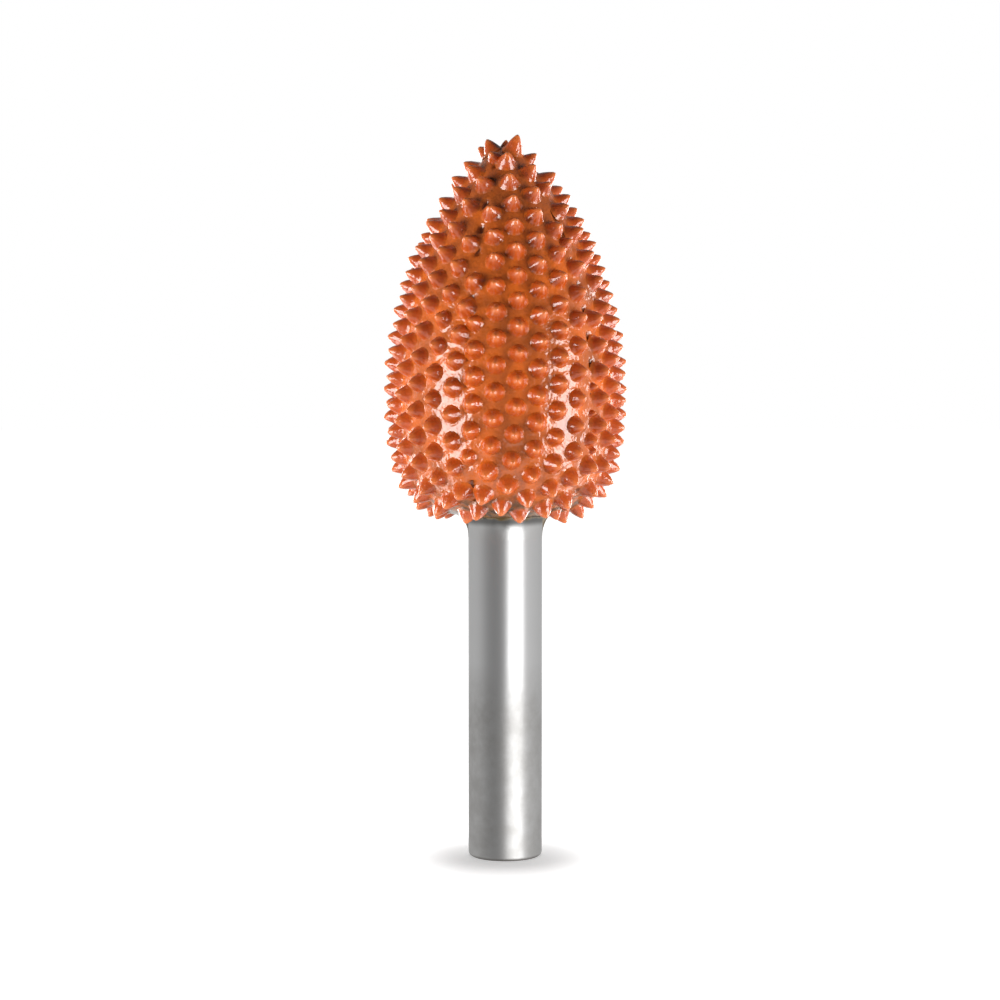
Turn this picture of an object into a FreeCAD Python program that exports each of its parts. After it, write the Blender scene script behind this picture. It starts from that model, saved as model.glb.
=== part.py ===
"""Rotary burr with an egg-shaped, thorn-toothed head on a ground steel shank.

Millimetres, +Z up. The origin is the middle of the shank's free end, on which the burr stands. The head's
skin is laid in gores, like the panels of a ball. Azimuths run from the front (-Y) towards the right (+X).
"""
import FreeCAD, Part
import math
import os

import Sketcher

SIZES = {
    # shank, a standard quarter-inch pin for a collet, stepped down to a spigot that the head sits on
    "shank_diameter": 6.35,
    "shank_ground_length": 27.7,
    "shank_end_bevel": 0.3,
    "spigot_diameter": 5.8,
    "spigot_seat": 12.0,
    "spigot_lead_bevel": 0.4,
    # outline of the head: shoulder, flank and nose are three arcs, each tangent to the next
    "belly_radius": 9.28,
    "belly_height": 10.2,
    "shoulder_radius": 6.0,
    "shoulder_sweep": 77.2,
    "flank_radius": 30.7,
    "nose_radius": 2.2,
    "nose_sweep": 78.0,
    # gores of the toothed skin, and the flats that each is bent into round the head
    "gore_count": 5,
    "gore_flats": 6,
    "gore_azimuth": 16.0,
    # teeth: an eight-sided thorn, its root sunk in the head, in staggered columns that lean and rows that fall
    "tooth_root_radius": 0.82,
    "tooth_height": 1.3,
    "tooth_root": 0.2,
    "tooth_sides": 8,
    "row_pitch": 2.2,
    "column_pitch": 1.82,
    "column_lean": 0.055,
    "row_fall": 0.153,
    "root_gap_least": 0.04,
    "seam_reach": 0.35,
    "bare_collar_radius": 5.1,
    # crown: the few teeth on the nose, of which the first is the tallest of all
    "crown_teeth": 3,
    "crown_radius": 1.1,
    "crown_azimuth": 38.0,
    "crown_top_height": 1.6,
    "crown_tooth_height": 1.25,
    # braze: the gap it fills round the spigot, and the ring that it leaves between shank and head
    "braze_clearance": 0.03,
    "braze_ring_width": 1.05,
    "braze_ring_height": 1.9,
    "braze_ring_waist": 0.45,
}

# How far each gore's pattern is shifted, as shares of a column and of a row: no two gores line up
GORE_SHIFTS = [(0.07, 0.09), (0.16, 0.25), (-0.19, 0.05), (0.08, 0.39), (0.45, 0.52)]

SHOULDER_STEPS = 5
FLANK_STEPS = 7
NOSE_STEPS = 2

doc = FreeCAD.newDocument("rotary_burr")
sheet = doc.addObject("Spreadsheet::Sheet", "Sizes")
for line, (alias, value) in enumerate(SIZES.items(), start=1):
    sheet.set(f"A{line}", alias)
    sheet.set(f"B{line}", str(value))
    sheet.setAlias(f"B{line}", alias)
doc.recompute()


def size(alias):
    """Value of one cell of the sheet."""
    return float(sheet.get(alias))


def add(kind, label, **expressions):
    """A document object with its properties bound to the sheet."""
    made = doc.addObject(kind, label)
    for name, expression in expressions.items():
        made.setExpression(name.replace("__", "."), expression)
    return made


def origin_plane(body, role):
    """One of a body's own origin planes."""
    return next(feature for feature in body.Origin.OriginFeatures if feature.Role == role)


# Outline of the head, as expressions: centres of the three arcs and the angles between which each runs
FLANK_R = "(Sizes.belly_radius - Sizes.flank_radius)"
LAND_Z = "(Sizes.shank_ground_length + Sizes.braze_ring_height)"
FLANK_Z = f"({LAND_Z} + Sizes.belly_height)"
SHOULDER_RISE = "(Sizes.shoulder_radius * sin(Sizes.shoulder_sweep * 1 deg))"
SHOULDER_REACH = "(Sizes.flank_radius - Sizes.shoulder_radius)"
SHOULDER_START = f"(-asin((Sizes.belly_height - {SHOULDER_RISE}) / {SHOULDER_REACH}))"
SHOULDER_R = f"({FLANK_R} + {SHOULDER_REACH} * cos({SHOULDER_START}))"
SHOULDER_Z = f"({LAND_Z} + {SHOULDER_RISE})"
NOSE_REACH = "(Sizes.flank_radius - Sizes.nose_radius)"
NOSE_START = f"acos((Sizes.flank_radius - Sizes.belly_radius) / {NOSE_REACH})"
NOSE_Z = f"({FLANK_Z} + {NOSE_REACH} * sin({NOSE_START}))"


def ring(label, centre_r, centre_z, radius, start, end, share):
    """A ring of the head's skin, at a share of the way along one arc of the outline."""
    angle = f"({start} + ({end} - {start}) * {share})"
    made = add(
        "Part::RegularPolygon", label,
        Polygon="Sizes.gore_count * Sizes.gore_flats",
        Circumradius=f"{centre_r} + Sizes.{radius} * cos({angle})",
        Placement__Base__z=f"{centre_z} + Sizes.{radius} * sin({angle})",
    )
    # a corner of every ring lies on a seam between two gores
    made.setExpression("Placement.Rotation.Angle", "(Sizes.gore_azimuth - 90 - 180 / Sizes.gore_count) * 1 deg")
    return made


def head_rings():
    """Rings from the land under the head to the flat on its nose."""
    rings = []
    for step in range(SHOULDER_STEPS):
        share = step / SHOULDER_STEPS
        rings.append(ring(f"shoulder_ring_{step + 1}", SHOULDER_R, SHOULDER_Z, "shoulder_radius",
                          "(-Sizes.shoulder_sweep * 1 deg)", SHOULDER_START, share))
    for step in range(FLANK_STEPS):
        share = step / FLANK_STEPS
        rings.append(ring(f"flank_ring_{step + 1}", FLANK_R, FLANK_Z, "flank_radius",
                          SHOULDER_START, NOSE_START, share))
    for step in range(NOSE_STEPS + 1):
        share = step / NOSE_STEPS
        rings.append(ring(f"nose_ring_{step + 1}", "0", NOSE_Z, "nose_radius",
                          NOSE_START, "(Sizes.nose_sweep * 1 deg)", share))
    return rings


class Outline:
    """The same outline as numbers, walked from the belly: up to the nose, or down (negative) to the land."""

    def __init__(self):
        self.flank = size("flank_radius")
        self.shoulder = size("shoulder_radius")
        self.nose = size("nose_radius")
        rise = self.shoulder * math.sin(math.radians(size("shoulder_sweep")))
        self.flank_r = size("belly_radius") - self.flank
        land_z = size("shank_ground_length") + size("braze_ring_height")
        self.flank_z = land_z + size("belly_height")
        self.shoulder_start = -math.asin((size("belly_height") - rise) / (self.flank - self.shoulder))
        self.shoulder_r = self.flank_r + (self.flank - self.shoulder) * math.cos(self.shoulder_start)
        self.shoulder_z = land_z + rise
        self.nose_start = math.acos(-self.flank_r / (self.flank - self.nose))
        self.nose_z = self.flank_z + (self.flank - self.nose) * math.sin(self.nose_start)
        self.to_shoulder = self.shoulder_start * self.flank
        self.to_nose = self.nose_start * self.flank
        self.top = self.to_nose + (math.pi / 2 - self.nose_start) * self.nose
        sweep = math.radians(size("shoulder_sweep"))
        self.bottom = self.to_shoulder - (sweep + self.shoulder_start) * self.shoulder

    def at(self, along):
        """Radius, height and the normal's angle above the level, a distance along from the belly."""
        if along > self.to_nose:
            angle = self.nose_start + (along - self.to_nose) / self.nose
            return self.nose * math.cos(angle), self.nose_z + self.nose * math.sin(angle), angle
        if along > self.to_shoulder:
            angle = along / self.flank
            return (self.flank_r + self.flank * math.cos(angle),
                    self.flank_z + self.flank * math.sin(angle), angle)
        angle = self.shoulder_start + (along - self.to_shoulder) / self.shoulder
        return (self.shoulder_r + self.shoulder * math.cos(angle),
                self.shoulder_z + self.shoulder * math.sin(angle), angle)


def gore_places(outline, gore, shift_across, shift_along):
    """Places for one gore's teeth: inside distance from its nearer seam, point and outward direction."""
    row, column = size("row_pitch"), size("column_pitch")
    half_gore = math.pi / size("gore_count")
    middle = math.radians(size("gore_azimuth")) + 2 * half_gore * gore
    columns = int(half_gore * size("belly_radius") / column) + 2
    rows = int(max(outline.top, -outline.bottom) / row) + 2
    places = []
    for number in range(-columns, columns + 1):
        stagger = 0.5 * (number % 2)
        for step in range(-rows, rows + 1):
            along = (shift_along + step + stagger) * row - number * size("row_fall")
            if not outline.bottom < along < outline.top:
                continue
            radius, height, angle = outline.at(along)
            across = (shift_across + number) * column + size("column_lean") * along
            inside = half_gore * radius - abs(across)
            on_collar = along < outline.to_shoulder and radius < size("bare_collar_radius")
            if inside < -size("seam_reach") or on_collar:
                continue
            turn = middle + across / radius
            out = FreeCAD.Vector(math.sin(turn), -math.cos(turn), 0)
            up = FreeCAD.Vector(0, 0, 1)
            places.append((inside, out * radius + up * height, out * math.cos(angle) + up * math.sin(angle)))
    return places


def crown_places(outline):
    """Places for the teeth of the crown, evenly round the nose."""
    lean = math.asin(size("crown_radius") / outline.nose)
    places = []
    for number in range(int(size("crown_teeth"))):
        turn = math.radians(size("crown_azimuth")) + 2 * math.pi * number / size("crown_teeth")
        out = FreeCAD.Vector(math.sin(turn), -math.cos(turn), 0)
        direction = out * math.sin(lean) + FreeCAD.Vector(0, 0, math.cos(lean))
        places.append((FreeCAD.Vector(0, 0, outline.nose_z) + direction * outline.nose, direction))
    return places


def gore_tooth_places(outline, crown):
    """Where the other teeth stand and which way they point. One whose root would meet another's is left out."""
    wanted = []
    for gore in range(int(size("gore_count"))):
        wanted += gore_places(outline, gore, *GORE_SHIFTS[gore % len(GORE_SHIFTS)])
    wanted.sort(key=lambda place: -place[0])
    depth = size("tooth_root")
    least = 2 * size("tooth_root_radius") + size("root_gap_least")
    kept = []
    roots = [point - direction * depth for point, direction in crown]
    for _, point, direction in wanted:
        root = point - direction * depth
        if all(root.distanceToPoint(other) >= least for other in roots):
            kept.append((point, direction))
            roots.append(root)
    return kept


def make_tooth(label, height):
    """One thorn, standing on the origin with its root below."""
    foot = add("Part::RegularPolygon", f"{label}_foot", Polygon="Sizes.tooth_sides",
               Circumradius="Sizes.tooth_root_radius", Placement__Base__z="-Sizes.tooth_root")
    tip = add("Part::Vertex", f"{label}_tip", Z=f"Sizes.{height}")
    tooth = add("Part::Loft", label)
    tooth.Sections = [foot, tip]
    tooth.Solid = True
    tooth.Ruled = True
    tooth.Linearize = True
    return tooth


def stand(tooth, places):
    """Copies of a tooth, one at each place."""
    up = FreeCAD.Vector(0, 0, 1)
    copies = []
    for point, direction in places:
        one = tooth.Shape.copy()
        one.Placement = FreeCAD.Placement(point, FreeCAD.Rotation(up, direction))
        copies.append(one)
    return copies


def make_toothed_head():
    """The head: a faceted egg with a blind socket for the spigot, and the thorns standing on it."""
    form = add("Part::Loft", "head_form")
    form.Sections = head_rings()
    form.Solid = True
    form.Ruled = True
    form.Linearize = True
    socket = add(
        "Part::Cylinder", "socket",
        Radius="Sizes.spigot_diameter / 2 + Sizes.braze_clearance",
        Height="Sizes.spigot_seat * 2",
        Placement__Base__z=f"{LAND_Z} - Sizes.spigot_seat",
    )
    core = add("Part::Cut", "head_core")
    core.Base = form
    core.Tool = socket
    tooth = make_tooth("tooth", "tooth_height")
    crown_top = make_tooth("crown_top", "crown_top_height")
    crown_tooth = make_tooth("crown_tooth", "crown_tooth_height")
    doc.recompute()
    outline = Outline()
    crown = crown_places(outline)
    teeth = add("Part::Feature", "teeth")
    teeth.Shape = Part.makeCompound(
        stand(crown_top, crown[:1]) + stand(crown_tooth, crown[1:]) + stand(tooth, gore_tooth_places(outline, crown)))
    head = add("Part::MultiFuse", "toothed_head")
    head.Shapes = [core, teeth]
    return head


def end_edge(shape, at_top):
    """Name of the round edge at the top or bottom of a turned piece."""
    rounds = [number for number, edge in enumerate(shape.Edges, start=1) if edge.Closed]
    rounds.sort(key=lambda number: shape.Edges[number - 1].CenterOfMass.z)
    return f"Edge{rounds[-1] if at_top else rounds[0]}"


def pad_from_end(body, label, diameter, length):
    """A round length of the pin, drawn on its free end."""
    sketch = body.newObject("Sketcher::SketchObject", f"{label}_section")
    sketch.AttachmentSupport = [(origin_plane(body, "XY_Plane"), "")]
    sketch.MapMode = "FlatFace"
    sketch.addGeometry(Part.Circle(FreeCAD.Vector(0, 0, 0), FreeCAD.Vector(0, 0, 1), size(diameter) / 2))
    sketch.addConstraint(Sketcher.Constraint("Coincident", 0, 3, -1, 1))
    sketch.addConstraint(Sketcher.Constraint("Diameter", 0, size(diameter)))
    sketch.renameConstraint(1, "diameter")
    sketch.setExpression("Constraints.diameter", f"Sizes.{diameter}")
    pad = body.newObject("PartDesign::Pad", label)
    pad.Profile = sketch
    pad.setExpression("Length", length)
    doc.recompute()
    return pad


def bevel_end(body, label, base, at_top, bevel):
    """The bevel round one end of the pin."""
    made = body.newObject("PartDesign::Chamfer", label)
    made.Base = (base, [end_edge(base.Shape, at_top)])
    made.setExpression("Size", f"Sizes.{bevel}")
    doc.recompute()
    return made


def make_shank():
    """The ground pin with its spigot, bevelled at the free end and where the spigot enters the head."""
    body = doc.addObject("PartDesign::Body", "shank")
    pad_from_end(body, "spigot", "spigot_diameter", f"{LAND_Z} + Sizes.spigot_seat")
    pin = pad_from_end(body, "ground_pin", "shank_diameter", "Sizes.shank_ground_length")
    free_end = bevel_end(body, "free_end_bevel", pin, False, "shank_end_bevel")
    body.Tip = bevel_end(body, "spigot_lead", free_end, True, "spigot_lead_bevel")
    return body


def make_braze_ring():
    """The hollow-faced ring of braze round the spigot, from the step of the shank to the land of the head."""
    body = doc.addObject("PartDesign::Body", "braze_ring")
    sketch = body.newObject("Sketcher::SketchObject", "braze_section")
    sketch.AttachmentSupport = [(origin_plane(body, "XZ_Plane"), "")]
    sketch.MapMode = "FlatFace"
    inner = size("spigot_diameter") / 2 + size("braze_clearance")
    step = size("shank_diameter") / 2
    low = size("shank_ground_length")
    top = low + size("braze_ring_height")
    waist = size("braze_ring_waist")
    # corners from the step of the shank, up the spigot, out under the land and back down the hollow face
    corners = [
        FreeCAD.Vector(inner, low, 0),
        FreeCAD.Vector(inner, top, 0),
        FreeCAD.Vector(step + size("braze_ring_width"), top, 0),
        FreeCAD.Vector(step + waist, top - waist, 0),
        FreeCAD.Vector(step, low, 0),
    ]
    for start, end in zip(corners, corners[1:] + corners[:1]):
        sketch.addGeometry(Part.LineSegment(start, end))
    for line in range(len(corners)):
        sketch.addConstraint(Sketcher.Constraint("Coincident", line, 2, (line + 1) % len(corners), 1))
    sketch.addConstraint(Sketcher.Constraint("Vertical", 0))
    sketch.addConstraint(Sketcher.Constraint("Horizontal", 1))
    sketch.addConstraint(Sketcher.Constraint("Horizontal", 4))
    sizes = [
        ("inner", ("DistanceX", -1, 1, 0, 1, inner), "Sizes.spigot_diameter / 2 + Sizes.braze_clearance"),
        ("step", ("DistanceX", -1, 1, 4, 1, step), "Sizes.shank_diameter / 2"),
        ("foot", ("DistanceY", -1, 1, 0, 1, low), "Sizes.shank_ground_length"),
        ("height", ("DistanceY", 0, 1, 0, 2, top - low), "Sizes.braze_ring_height"),
        ("width", ("DistanceX", 4, 1, 1, 2, size("braze_ring_width")), "Sizes.braze_ring_width"),
        ("waist_out", ("DistanceX", 4, 1, 2, 2, waist), "Sizes.braze_ring_waist"),
        ("waist_down", ("DistanceY", 2, 2, 1, 1, waist), "Sizes.braze_ring_waist"),
    ]
    for name, rule, expression in sizes:
        number = sketch.addConstraint(Sketcher.Constraint(*rule))
        sketch.renameConstraint(number, name)
        sketch.setExpression(f"Constraints.{name}", expression)
    turned = body.newObject("PartDesign::Revolution", "braze_turned")
    turned.Profile = sketch
    turned.ReferenceAxis = (sketch, ["V_Axis"])
    turned.Angle = 360
    body.Tip = turned
    return body


nodes = [make_shank(), make_braze_ring(), make_toothed_head()]
doc.recompute()

for item in doc.Objects:
    if {"Invalid", "Error"} & set(item.State):
        raise RuntimeError(f"{item.Label} failed: {item.State}")
for node in nodes:
    if node.Shape.isNull() or not node.Shape.isValid() or len(node.Shape.Solids) != 1:
        raise RuntimeError(f"{node.Label} is not one sound solid")

os.makedirs("parts", exist_ok=True)
for node in nodes:
    node.Shape.exportStep(f"parts/{node.Label}.step")
    box = node.Shape.BoundBox
    print(f"{node.Label}: {node.Shape.Volume:.1f} mm3, {box.XLength:.2f} x {box.YLength:.2f} x {box.ZLength:.2f} mm")
print(f"{len(doc.getObject('teeth').Shape.Solids)} teeth")
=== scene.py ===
"""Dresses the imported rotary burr: an egg-shaped head of lacquered thorns, a ring of braze and a ground shank.

Sizes are in millimetres in the classes and in metres in the meshes. Azimuths run from the front (-Y) towards
the right (+X). The skin of the head is laid in gores, like the panels of a ball, with seams between them.
"""
import logging
import math
import random
from dataclasses import dataclass, field
from enum import Enum
from functools import cached_property
from typing import Any

import bmesh
import bpy
from mathutils import Matrix, Vector, noise
from mathutils.kdtree import KDTree


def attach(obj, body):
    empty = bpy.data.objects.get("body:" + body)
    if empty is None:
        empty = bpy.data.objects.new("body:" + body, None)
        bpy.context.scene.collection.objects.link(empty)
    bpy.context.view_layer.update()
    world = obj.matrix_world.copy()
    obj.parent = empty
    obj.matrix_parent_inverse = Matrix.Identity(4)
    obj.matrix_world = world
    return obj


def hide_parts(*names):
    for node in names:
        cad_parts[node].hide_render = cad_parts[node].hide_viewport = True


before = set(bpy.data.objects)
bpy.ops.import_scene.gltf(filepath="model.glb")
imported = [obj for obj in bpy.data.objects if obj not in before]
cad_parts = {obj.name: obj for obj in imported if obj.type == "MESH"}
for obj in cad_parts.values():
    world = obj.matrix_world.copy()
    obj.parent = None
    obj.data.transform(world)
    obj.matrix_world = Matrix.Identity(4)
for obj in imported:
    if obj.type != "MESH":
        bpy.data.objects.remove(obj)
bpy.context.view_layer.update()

MM = 0.001
UP = Vector((0.0, 0.0, 1.0))
QUARTER_TURN = 0.25
WHITE = (1.0, 1.0, 1.0, 1.0)
log = logging.getLogger("rotary_burr")


class Slot(Enum):
    """Material slots of the record."""

    HEAD_COAT = "head_coat"
    SHANK_STEEL = "shank_steel"
    BRAZE = "braze"


class Node(Enum):
    """CAD nodes that the dressed pieces stand for."""

    TOOTHED_HEAD = "toothed_head"
    SHANK = "shank"
    BRAZE_RING = "braze_ring"


def outward(turn: float) -> Vector:
    """Level unit vector at an azimuth.

    Args:
        turn: Azimuth in radians, from the front towards the right.

    Returns:
        The vector away from the axis of the burr.
    """
    return Vector((math.sin(turn), -math.cos(turn), 0.0))


def ease(value: float, start: float, end: float) -> float:
    """Smooth step of a value from 0 at the start to 1 at the end.

    Args:
        value: The value to ease.
        start: Where the step begins.
        end: Where the step is complete.

    Returns:
        A share between 0 and 1.
    """
    share = min(1.0, max(0.0, (value - start) / (end - start)))
    return share * share * (3.0 - 2.0 * share)


def linear(code: str) -> tuple[float, float, float, float]:
    """Linear colour of an sRGB hex code.

    Args:
        code: Six hex digits, with or without a leading hash.

    Returns:
        Red, green, blue and an alpha of 1.
    """
    digits = code.lstrip("#")
    shares = [int(digits[start:start + 2], 16) / 255.0 for start in (0, 2, 4)]
    parts = [share / 12.92 if share <= 0.04045 else ((share + 0.055) / 1.055) ** 2.4 for share in shares]
    return parts[0], parts[1], parts[2], 1.0


def per_mm(length: float) -> float:
    """Scale of a pattern on Object coordinates whose features are a length in millimetres across."""
    return 1.0 / (length * MM)


def add_node(tree: bpy.types.NodeTree, kind: str, settings: dict[Any, Any] | None = None) -> bpy.types.Node:
    """Adds a node with its settings and its incoming links.

    Args:
        tree: The node tree that gets the node.
        kind: The node's type.
        settings: Values by property name, or by the name or number of an input. A value that is a socket is
            linked to the input. "stops" fills a colour ramp.

    Returns:
        The new node.
    """
    node = tree.nodes.new(kind)
    for name, value in (settings or {}).items():
        if isinstance(value, bpy.types.NodeSocket):
            tree.links.new(value, node.inputs[name])
        elif name == "stops":
            ramp = node.color_ramp
            for _ in range(len(value) - 2):
                ramp.elements.new(0.5)
            for element, (position, colour) in zip(ramp.elements, value):
                element.position = position
                element.color = colour
        elif isinstance(name, int) or name in node.inputs:
            node.inputs[name].default_value = value
        else:
            setattr(node, name, value)
    return node


@dataclass(frozen=True)
class Finish:
    """What every finish shares: a named material whose surface is one Principled shader."""

    name: str

    def material(self) -> bpy.types.Material:
        """The finished material."""
        material = bpy.data.materials.new(self.name)
        material.use_nodes = True
        self.lay(material.node_tree, material.node_tree.nodes["Principled BSDF"])
        return material

    def lay(self, tree: bpy.types.NodeTree, shader: bpy.types.Node) -> None:
        """Lays the finish over a bare shader.

        Args:
            tree: The material's node tree.
            shader: Its Principled shader.
        """
        raise NotImplementedError


@dataclass(frozen=True)
class GlossyLacquer(Finish):
    """Orange stoving lacquer, sprayed over the thorns.

    It is bright and glossy in the web between the thorns. The thorns' sides are painted darker and red-brown
    as shade, and their tips paler as painted light. Towards the nose the web has patches of painted shade,
    and the slots of the seams are painted dark as shade. By the collar the coat is thin over the braze, with
    flux specks, and is darkened there by painted shade. Small lumps of the coat break its highlights up.
    """

    name: str = "orange_stoving_lacquer"
    web: str = "#D7681E"
    web_deep: str = "#A8531E"
    # painted shade: the thorns' sides darker and redder than the web
    flank: str = "#B74716"
    # painted shade: dark colour in the slots along the seams
    slot: str = "#35130A"
    # dark specks by the collar: partly flux on the bared braze, partly painted shade between the lowest thorns
    flux: str = "#3E2A1A"
    # painted light: the thorns' tips paler than their sides
    tip_light: str = "#E67E40"
    # braze showing through the thin coat by the collar, darkened with painted shade
    thin_coat_and_shade: str = "#7E5A2E"
    # painted shade: dark patches in the web of the upper head, towards the nose
    upper_shade: str = "#62281F"
    blotch_mm: float = 2.6
    blotch_band: tuple[float, float] = (0.35, 0.65)
    upper_shade_mm: float = 1.5
    upper_shade_band: tuple[float, float] = (0.46, 0.62)
    upper_shade_most: float = 0.25
    upper_shade_above_mm: tuple[float, float] = (40.0, 57.0)
    # shares of a thorn's height: where the skin ends, where the painted shade on its side is full, and where
    # the tip is painted pale as light
    skin_below: float = 0.12
    flank_shade_above: float = 0.22
    flank_shade_most: float = 0.65
    tip_light_band: tuple[float, float] = (0.48, 0.98)
    tip_light_most: float = 0.68
    collar_mm: tuple[float, float] = (29.9, 31.8)
    ragged_mm: float = 0.9
    ragged_swing_mm: float = 3.2
    thin_and_shade_most: float = 0.9
    flux_and_shade_band: tuple[float, float] = (0.44, 0.56)
    flux_and_shade_most: float = 0.95
    lump_mm: float = 0.45
    lump_band: tuple[float, float] = (0.3, 0.7)
    lump_depth_mm: float = 0.075
    rough: tuple[float, float] = (0.22, 0.42)
    base_specular: float = 0.12
    coat_weight: float = 0.9
    coat_ior: float = 1.56
    coat_roughness: float = 0.18

    def lay(self, tree: bpy.types.NodeTree, shader: bpy.types.Node) -> None:
        """Lays blotches, painted shade towards the nose, painted shade on the thorns' sides and painted light on
        their tips, the thin edge by the collar with flux specks and painted shade, and painted shade in the
        slots, then lumps.

        Args:
            tree: The material's node tree.
            shader: Its Principled shader.
        """
        place = add_node(tree, "ShaderNodeTexCoord").outputs["Object"]
        height = add_node(tree, "ShaderNodeSeparateXYZ", {"Vector": place}).outputs["Z"]
        above = add_node(tree, "ShaderNodeAttribute", {"attribute_name": "above"}).outputs["Fac"]
        slot = add_node(tree, "ShaderNodeAttribute", {"attribute_name": "slot"}).outputs["Fac"]
        blotches = add_node(tree, "ShaderNodeTexNoise", {
            "Scale": per_mm(self.blotch_mm), "Detail": 3.0, "Vector": place}).outputs["Fac"]
        deep = add_node(tree, "ShaderNodeMapRange", {
            "From Min": self.blotch_band[0], "From Max": self.blotch_band[1],
            "Value": blotches}).outputs["Result"]
        web = add_node(tree, "ShaderNodeMix", {
            "data_type": "RGBA", 0: deep, 6: linear(self.web), 7: linear(self.web_deep)}).outputs[2]
        # patches of painted shade in the web, from the belly up towards the nose
        upper_shade = add_node(tree, "ShaderNodeTexNoise", {
            "Scale": per_mm(self.upper_shade_mm), "Detail": 2.0, "Vector": place}).outputs["Fac"]
        patches = add_node(tree, "ShaderNodeMapRange", {
            "From Min": self.upper_shade_band[0], "From Max": self.upper_shade_band[1], "To Max": self.upper_shade_most,
            "Value": upper_shade}).outputs["Result"]
        reach = add_node(tree, "ShaderNodeMapRange", {
            "From Min": self.upper_shade_above_mm[0] * MM, "From Max": self.upper_shade_above_mm[1] * MM,
            "Value": height}).outputs["Result"]
        upper_shade_share = add_node(tree, "ShaderNodeMath", {
            "operation": "MULTIPLY", 0: patches, 1: reach}).outputs["Value"]
        upper_shaded = add_node(tree, "ShaderNodeMix", {
            "data_type": "RGBA", 0: upper_shade_share, 6: web, 7: linear(self.upper_shade)}).outputs[2]
        # the thorns' sides are painted darker and redder, as the shade between them
        flank_shade_share = add_node(tree, "ShaderNodeMapRange", {
            "interpolation_type": "SMOOTHSTEP", "From Min": 0.0, "From Max": self.flank_shade_above,
            "To Max": self.flank_shade_most, "Value": above}).outputs["Result"]
        flank = add_node(tree, "ShaderNodeMix", {
            "data_type": "RGBA", 0: flank_shade_share, 6: upper_shaded, 7: linear(self.flank)}).outputs[2]
        # the thorns' tips are painted paler, as light
        tip_light_share = add_node(tree, "ShaderNodeMapRange", {
            "interpolation_type": "SMOOTHSTEP", "From Min": self.tip_light_band[0], "From Max": self.tip_light_band[1],
            "To Max": self.tip_light_most, "Value": above}).outputs["Result"]
        tip_light = add_node(tree, "ShaderNodeMix", {
            "data_type": "RGBA", 0: tip_light_share, 6: flank, 7: linear(self.tip_light)}).outputs[2]
        ragged = add_node(tree, "ShaderNodeTexNoise", {
            "Scale": per_mm(self.ragged_mm), "Detail": 4.0, "Vector": place}).outputs["Fac"]
        edge = add_node(tree, "ShaderNodeMath", {
            "operation": "MULTIPLY_ADD", 0: ragged, 1: -self.ragged_swing_mm * MM,
            2: self.ragged_swing_mm / 2 * MM}).outputs["Value"]
        lifted = add_node(tree, "ShaderNodeMath", {"operation": "ADD", 0: height, 1: edge}).outputs["Value"]
        # by the collar the coat is thin over the braze, and painted darker there as shade between the lowest
        # thorns
        thin_and_shade_share = add_node(tree, "ShaderNodeMapRange", {
            "interpolation_type": "SMOOTHSTEP", "From Min": self.collar_mm[1] * MM,
            "From Max": self.collar_mm[0] * MM, "To Max": self.thin_and_shade_most, "Value": lifted}).outputs["Result"]
        on_skin = add_node(tree, "ShaderNodeMapRange", {
            "From Max": self.skin_below, "To Min": 1.0, "To Max": 0.0, "Value": above}).outputs["Result"]
        bared_and_shaded = add_node(tree, "ShaderNodeMath", {
            "operation": "MULTIPLY", 0: thin_and_shade_share, 1: on_skin}).outputs["Value"]
        thinned_and_shaded = add_node(tree, "ShaderNodeMix", {
            "data_type": "RGBA", 0: bared_and_shaded, 6: tip_light, 7: linear(self.thin_coat_and_shade)}).outputs[2]
        # specks by the collar: partly flux, partly painted shade between the lowest thorns
        flux_and_shade_specks = add_node(tree, "ShaderNodeMapRange", {
            "From Min": self.flux_and_shade_band[0], "From Max": self.flux_and_shade_band[1], "To Max": self.flux_and_shade_most,
            "Value": ragged}).outputs["Result"]
        flux_and_shade_share = add_node(tree, "ShaderNodeMath", {
            "operation": "MULTIPLY", 0: bared_and_shaded, 1: flux_and_shade_specks}).outputs["Value"]
        coat = add_node(tree, "ShaderNodeMix", {
            "data_type": "RGBA", 0: flux_and_shade_share, 6: thinned_and_shaded, 7: linear(self.flux)}).outputs[2]
        # the slots of the seams are painted dark as shade
        slotted = add_node(tree, "ShaderNodeMix", {
            "data_type": "RGBA", 0: slot, 6: coat, 7: linear(self.slot)}).outputs[2]
        lumps = add_node(tree, "ShaderNodeTexNoise", {
            "Scale": per_mm(self.lump_mm), "Detail": 1.0, "Roughness": 0.6, "Vector": place}).outputs["Fac"]
        rough = add_node(tree, "ShaderNodeMapRange", {
            "From Min": self.lump_band[0], "From Max": self.lump_band[1], "To Min": self.rough[0],
            "To Max": self.rough[1], "Value": lumps}).outputs["Result"]
        bump = add_node(tree, "ShaderNodeBump", {
            "Strength": 1.0, "Distance": self.lump_depth_mm * MM, "Height": lumps}).outputs["Normal"]
        shader.inputs["Specular IOR Level"].default_value = self.base_specular
        shader.inputs["Coat Weight"].default_value = self.coat_weight
        shader.inputs["Coat IOR"].default_value = self.coat_ior
        shader.inputs["Coat Roughness"].default_value = self.coat_roughness
        tree.links.new(slotted, shader.inputs["Base Color"])
        tree.links.new(rough, shader.inputs["Roughness"])
        tree.links.new(bump, shader.inputs["Normal"])
        tree.links.new(bump, shader.inputs["Coat Normal"])


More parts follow.
